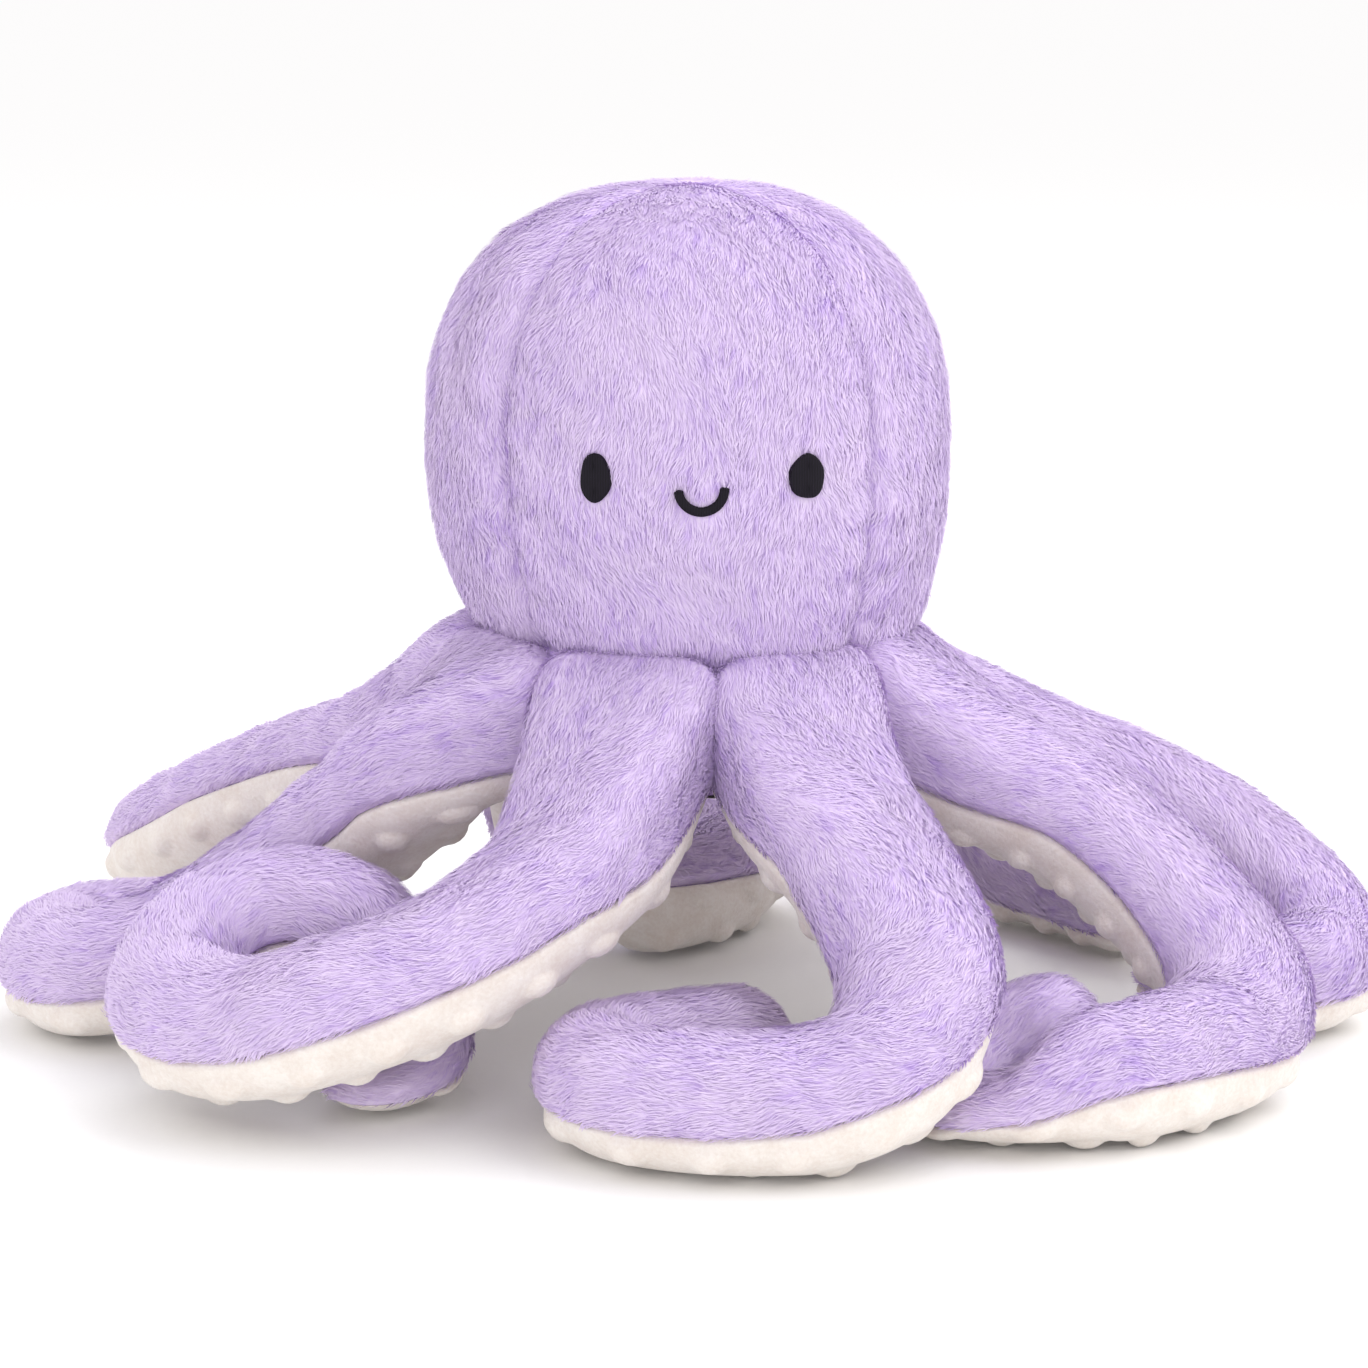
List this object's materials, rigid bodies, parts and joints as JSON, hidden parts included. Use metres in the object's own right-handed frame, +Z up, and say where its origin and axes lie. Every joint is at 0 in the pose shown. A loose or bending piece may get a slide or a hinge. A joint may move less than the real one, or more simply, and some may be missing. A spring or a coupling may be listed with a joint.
{
  "type": "plush octopus",
  "caption": "Soft octopus toy with a round stuffed head, embroidered eyes and smile, and curling stuffed arms with dotted cream undersides.",
  "frame": {"origin": "on the floor under the middle of the toy's outline", "axes": "+X to the viewer's right across the widest spread of the arms, -Y the way the face looks, +Z up"},
  "size_m": [0.5382, 0.4212, 0.324],
  "materials": {
    "lilac_pile": "long soft pile",
    "dotted_underside": "short pile with raised dots",
    "polyester_filling": "loose fibre",
    "embroidery": "satin thread"
  },
  "bodies": {
    "head_and_body": {"head_front_panel": "lilac_pile", "head_right_panel": "lilac_pile", "head_back_panel": "lilac_pile", "head_left_panel": "lilac_pile", "left_eye": "embroidery", "right_eye": "embroidery", "mouth": "embroidery", "head_and_body_filling": "polyester_filling", "belly_panel": "dotted_underside"},
    "front_left_arm": {"front_left_arm_top": "lilac_pile", "front_left_arm_underside": "dotted_underside", "front_left_arm_filling": "polyester_filling"},
    "front_right_arm": {"front_right_arm_top": "lilac_pile", "front_right_arm_underside": "dotted_underside", "front_right_arm_filling": "polyester_filling"},
    "left_front_arm": {"left_front_arm_top": "lilac_pile", "left_front_arm_underside": "dotted_underside", "left_front_arm_filling": "polyester_filling"},
    "left_back_arm": {"left_back_arm_top": "lilac_pile", "left_back_arm_underside": "dotted_underside", "left_back_arm_filling": "polyester_filling"},
    "back_left_arm": {"back_left_arm_top": "lilac_pile", "back_left_arm_underside": "dotted_underside", "back_left_arm_filling": "polyester_filling"},
    "back_right_arm": {"back_right_arm_top": "lilac_pile", "back_right_arm_underside": "dotted_underside", "back_right_arm_filling": "polyester_filling"},
    "right_back_arm": {"right_back_arm_top": "lilac_pile", "right_back_arm_underside": "dotted_underside", "right_back_arm_filling": "polyester_filling"},
    "right_front_arm": {"right_front_arm_top": "lilac_pile", "right_front_arm_underside": "dotted_underside", "right_front_arm_filling": "polyester_filling"}
  },
  "joints": [
    {"name": "front_left_arm_lift", "type": "hinge", "parent": "head_and_body", "child": "front_left_arm", "pos_m": [-0.02388, -0.07479, 0.1555], "axis": [-0.9681, 0.2504, 0], "range_deg": [0, 45], "stiffness_Nm_per_rad": 0.15, "springref_deg": -28.65},
    {"name": "front_right_arm_lift", "type": "hinge", "parent": "head_and_body", "child": "front_right_arm", "pos_m": [0.03849, -0.06602, 0.1555], "axis": [-0.8616, -0.5075, 0], "range_deg": [0, 45], "stiffness_Nm_per_rad": 0.15, "springref_deg": -28.65},
    {"name": "left_front_arm_lift", "type": "hinge", "parent": "head_and_body", "child": "left_front_arm", "pos_m": [-0.07419, -0.03688, 0.1555], "axis": [-0.5075, 0.8616, 0], "range_deg": [0, 45], "stiffness_Nm_per_rad": 0.15, "springref_deg": -28.65},
    {"name": "left_back_arm_lift", "type": "hinge", "parent": "head_and_body", "child": "left_back_arm", "pos_m": [-0.08296, 0.0255, 0.1555], "axis": [0.2504, 0.9681, 0], "range_deg": [0, 45], "stiffness_Nm_per_rad": 0.15, "springref_deg": -28.65},
    {"name": "back_left_arm_lift", "type": "hinge", "parent": "head_and_body", "child": "back_left_arm", "pos_m": [-0.04505, 0.0758, 0.1555], "axis": [0.8616, 0.5075, 0], "range_deg": [0, 45], "stiffness_Nm_per_rad": 0.15, "springref_deg": -28.65},
    {"name": "back_right_arm_lift", "type": "hinge", "parent": "head_and_body", "child": "back_right_arm", "pos_m": [0.01733, 0.08457, 0.1555], "axis": [0.9681, -0.2504, 0], "range_deg": [0, 45], "stiffness_Nm_per_rad": 0.15, "springref_deg": -28.65},
    {"name": "right_back_arm_lift", "type": "hinge", "parent": "head_and_body", "child": "right_back_arm", "pos_m": [0.06764, 0.04666, 0.1555], "axis": [0.5075, -0.8616, 0], "range_deg": [0, 45], "stiffness_Nm_per_rad": 0.15, "springref_deg": -28.65},
    {"name": "right_front_arm_lift", "type": "hinge", "parent": "head_and_body", "child": "right_front_arm", "pos_m": [0.0764, -0.01571, 0.1555], "axis": [-0.2504, -0.9681, 0], "range_deg": [0, 45], "stiffness_Nm_per_rad": 0.15, "springref_deg": -28.65}
  ]
}
